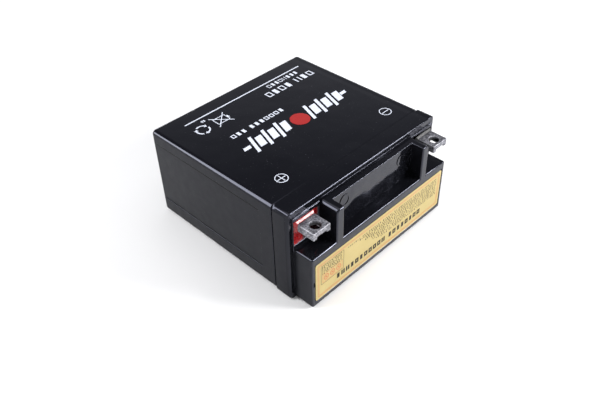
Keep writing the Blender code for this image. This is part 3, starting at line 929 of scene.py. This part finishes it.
# ---------------------------------------------------------------- lugs and resin


def limited(value):
    return min(1.0, max(0.0, value))


def store_wear(mesh):
    """Keeps how convex each vertex is, so that the finish can brighten rubbed edges."""
    shape = shape_from(mesh)
    values = []
    for vert in shape.verts:
        around = [edge.other_vert(vert).co for edge in vert.link_edges]
        middle = sum(around, Vector()) / len(around)
        bulge = (vert.co - middle).dot(vert.normal) / LUG_VOXEL
        uneven = 1.0 + 0.5 * noise.noise(vert.co * 900)
        values.append(limited((bulge - WEAR_FROM) * WEAR_STRENGTH * uneven))
    shape.free()
    keep(mesh, "worn", values)


def store_painted_bore_shade(mesh, node):
    """Keeps how deep each vertex of the bolt hole's wall lies, so that the finish can paint shade into
    the hole, darker below its lit rim.
    """
    low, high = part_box(node)
    middle_x, middle_y = (low.x + high.x) / 2, y_at(BOLT_RISE)
    values = []
    for vert in mesh.vertices:
        out = math.hypot(vert.co.x - middle_x, vert.co.y - middle_y)
        deep = (high.z - vert.co.z) / BORE_LIT if out < BOLT_RADIUS + LUG_VOXEL else 0.0
        values.append(limited(deep - 0.3))
    keep(mesh, "painted_bore_shade", values)


def roughen(mesh):
    """Sinks a lug's skin a little, unevenly, and pits it."""
    shape = shape_from(mesh)
    for vert in shape.verts:
        skin = noise.noise(vert.co * 450) + 0.5 * noise.noise(vert.co * 1400)
        pit = max(0.0, noise.noise(vert.co * 800 + Vector((5, 2, 9))) - 0.35)
        vert.co += vert.normal * (CAST_ROUGHNESS * (0.5 * skin - 0.5) - PIT_DEPTH * pit)
    shape.to_mesh(mesh)
    shape.free()


def make_lug(node, name, material):
    """A cast lug: soft edges, shallow pits and a skin that isn't quite flat."""
    piece = add_piece(name, node_mesh(node, name), material)
    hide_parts(node)
    fine = piece.modifiers.new("fine", "REMESH")
    fine.mode = "VOXEL"
    fine.voxel_size = LUG_VOXEL
    fine.use_smooth_shade = True
    baked(piece)
    soft = piece.modifiers.new("soft", "SMOOTH")
    soft.factor = 0.5
    soft.iterations = 3
    mesh = baked(piece)
    store_wear(mesh)
    store_painted_bore_shade(mesh, node)
    roughen(mesh)
    mesh.materials.clear()
    mesh.materials.append(material)
    mesh.shade_smooth()


def outside_distance(x, z, low, high):
    """How far a point in plan is from a box, and 0 inside it."""
    dx = max(low.x - x, 0.0, x - high.x)
    dz = max(low.z - z, 0.0, z - high.z)
    return math.hypot(dx, dz)


def resin_rise(x, z, low, high, lug_low, lug_high):
    """The rise of the resin's skin at a point in plan: higher at the walls of the well and at the lug."""
    wall = min(x - low.x, high.x - x, z - low.z, high.z - z)
    near = outside_distance(x, z, lug_low, lug_high)
    crept = RESIN_LEVEL + RESIN_CREEP * math.exp(-wall / CREEP_REACH)
    ripple = RESIN_RIPPLE * noise.noise(Vector((x, z, 0)) * 380)
    return max(crept, LUG_ROOT - LUG_SLOPE * near) + ripple


def resin_mesh(name, low, high, lug_low, lug_high):
    """A grid for the skin of the resin, with a flat underside and sides."""
    columns = round((high.x - low.x) / RESIN_STEP)
    rows = round((high.z - low.z) / RESIN_STEP)
    shape = bmesh.new()
    top, bottom = {}, {}
    for column in range(columns + 1):
        for row in range(rows + 1):
            x = low.x + (high.x - low.x) * column / columns
            z = low.z + (high.z - low.z) * row / rows
            rise = resin_rise(x, z, low, high, lug_low, lug_high)
            top[column, row] = shape.verts.new((x, y_at(rise), z))
            bottom[column, row] = shape.verts.new((x, high.y, z))
    for column in range(columns):
        for row in range(rows):
            corners = ((column, row), (column + 1, row), (column + 1, row + 1), (column, row + 1))
            shape.faces.new([top[corner] for corner in corners])
            shape.faces.new([bottom[corner] for corner in reversed(corners)])
    rim = [(column, 0) for column in range(columns)]
    rim += [(columns, row) for row in range(rows)]
    rim += [(column, rows) for column in range(columns, 0, -1)]
    rim += [(0, row) for row in range(rows, 0, -1)]
    for first, second in zip(rim, rim[1:] + rim[:1]):
        shape.faces.new((top[first], bottom[first], bottom[second], top[second]))
    bmesh.ops.recalc_face_normals(shape, faces=shape.faces)
    return mesh_from(shape, name)


def make_resin(node, lug, name, material):
    """Resin poured round a lug: it creeps up the walls of its well and climbs the lug."""
    low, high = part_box(node)
    lug_low, lug_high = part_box(lug)
    lug_low = Vector((lug_low.x, 0, lug_high.z - LUG_HEIGHT))
    mesh = resin_mesh(name, low - WELL_GAP, high + WELL_GAP, lug_low, lug_high)
    # Painted shade, kept under the name thin: the resin turns nearly black towards the fin and behind the
    # lug, where shade falls.
    thin = []
    for vert in mesh.vertices:
        inward = (RESIN_SHADE_FROM - abs(vert.co.x)) / RESIN_SHADE_OVER
        behind = (lug_low.z - vert.co.z) / RESIN_SHADE_OVER + 1
        thin.append(limited(inward) * limited(behind))
    keep(mesh, "thin", thin)
    mesh.shade_smooth()
    mesh.set_sharp_from_angle(angle=RESIN_SHARP_ABOVE)
    piece = add_piece(name, mesh, material)
    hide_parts(node)


# ---------------------------------------------------------------- hidden parts


def finish_hidden_nodes():
    """Materials for the CAD nodes that stay as they are: the cells and what is under the label."""
    lead = cast_lead("post_lead", (0.20, 0.20, 0.22), (0.32, 0.32, 0.34), (0.45, 0.45, 0.47))
    finishes = {
        "positive_plates": pasted_plate("positive_paste", (0.055, 0.022, 0.012), (0.11, 0.050, 0.028)),
        "negative_plates": pasted_plate("negative_paste", (0.14, 0.14, 0.15), (0.24, 0.24, 0.25)),
        "separator": glass_mat(),
        "relief_valve": valve_rubber(),
        "vent_strip": plain_black_plastic(),
        "cell_link": lead,
        "post": lead,
    }
    for node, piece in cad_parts.items():
        for start, material in finishes.items():
            if node.startswith(start):
                piece.data.materials.clear()
                piece.data.materials.append(material)


# ---------------------------------------------------------------- studio


def turned_to(direction):
    """The turn that points a camera or a light along a direction."""
    return Vector(direction).to_track_quat("-Z", "Y").to_matrix().to_4x4()


def make_camera():
    data = bpy.data.cameras.new("camera")
    data.lens = LENS
    data.sensor_width = SENSOR_WIDTH
    camera = add_object("camera", data)
    turn = turned_to(CAMERA_AIM - CAMERA_PLACE) @ Matrix.Rotation(CAMERA_ROLL, 4, "Z")
    camera.matrix_world = Matrix.Translation(CAMERA_PLACE) @ turn
    bpy.context.scene.camera = camera


def make_softbox(name, direction, distance, width, height, power):
    """A rectangular soft light that looks at the battery from a direction."""
    data = bpy.data.lights.new(name, "AREA")
    data.shape = "RECTANGLE"
    data.size = width
    data.size_y = height
    data.energy = power
    light = add_object(name, data)
    towards = Vector(direction).normalized()
    place = Vector((0, 0, DEPTH_MIDDLE)) + towards * distance
    light.matrix_world = Matrix.Translation(place) @ turned_to(-towards)


def make_floor():
    mesh = bpy.data.meshes.new("floor")
    corners = [(-1, -1), (1, -1), (1, 1), (-1, 1)]
    mesh.from_pydata([(x * FLOOR_REACH, y * FLOOR_REACH, 0) for x, y in corners], [], [(0, 1, 2, 3)])
    mesh.materials.append(pale_floor())
    add_object("floor", mesh)


def make_world():
    """A pale band round the horizon that turns to a dim grey higher up, like a studio wall."""
    world = bpy.data.worlds.new("studio")
    world.use_nodes = True
    tree = world.node_tree
    coordinates = tree.nodes.new("ShaderNodeTexCoord")
    split = tree.nodes.new("ShaderNodeSeparateXYZ")
    ramp = tree.nodes.new("ShaderNodeValToRGB")
    tree.links.new(coordinates.outputs["Generated"], split.inputs["Vector"])
    tree.links.new(split.outputs["Z"], ramp.inputs["Fac"])
    for element, (position, color) in zip(ramp.color_ramp.elements, (HORIZON, OVERHEAD)):
        element.position = position
        element.color = color
    tree.links.new(ramp.outputs["Color"], tree.nodes["Background"].inputs["Color"])
    bpy.context.scene.world = world


def make_studio():
    make_floor()
    for softbox in SOFTBOXES:
        make_softbox(*softbox)
    make_world()
    bpy.context.scene.view_settings.view_transform = "Standard"


# ---------------------------------------------------------------- the scene

make_camera()
black = moulded_black()
painted_shade = painted_seam_shade()
white_ink = ink("white_ink", (0.72, 0.76, 0.87), (0.10, 0.10, 0.12))
make_shells(black)
make_seam(painted_shade)
make_mould_marks(black, painted_shade)
make_front_prints(white_ink, ink("red_ink", (0.36, 0.012, 0.012), (0.10, 0.01, 0.01)))
make_polarity_marks(white_ink)
make_recycling_marks(white_ink)
make_label(
    label_paper(),
    ink("black_ink", (0.010, 0.009, 0.008), (0.08, 0.07, 0.04), 0.2),
    ink("grey_ink", (0.012, 0.010, 0.006), (0.10, 0.08, 0.04), 0.2),
    ink("orange_ink", (0.50, 0.14, 0.045), (0.56, 0.32, 0.12)),
)
lug_lead = cast_lead("lug_lead", (0.11, 0.11, 0.13), (0.27, 0.27, 0.30), (0.52, 0.52, 0.56))
make_lug("terminal_positive", "lug_positive", lug_lead)
make_lug("terminal_negative", "lug_negative", lug_lead)
red_resin = resin("red_resin", (0.24, 0.004, 0.006), (0.36, 0.008, 0.010), 0.22, 0.32)
black_resin = resin("black_resin", (0.008, 0.008, 0.009), (0.014, 0.014, 0.016), 0.45, 0.60)
make_resin("seal_positive", "terminal_positive", "resin_positive", red_resin)
make_resin("seal_negative", "terminal_negative", "resin_negative", black_resin)
finish_hidden_nodes()
make_studio()
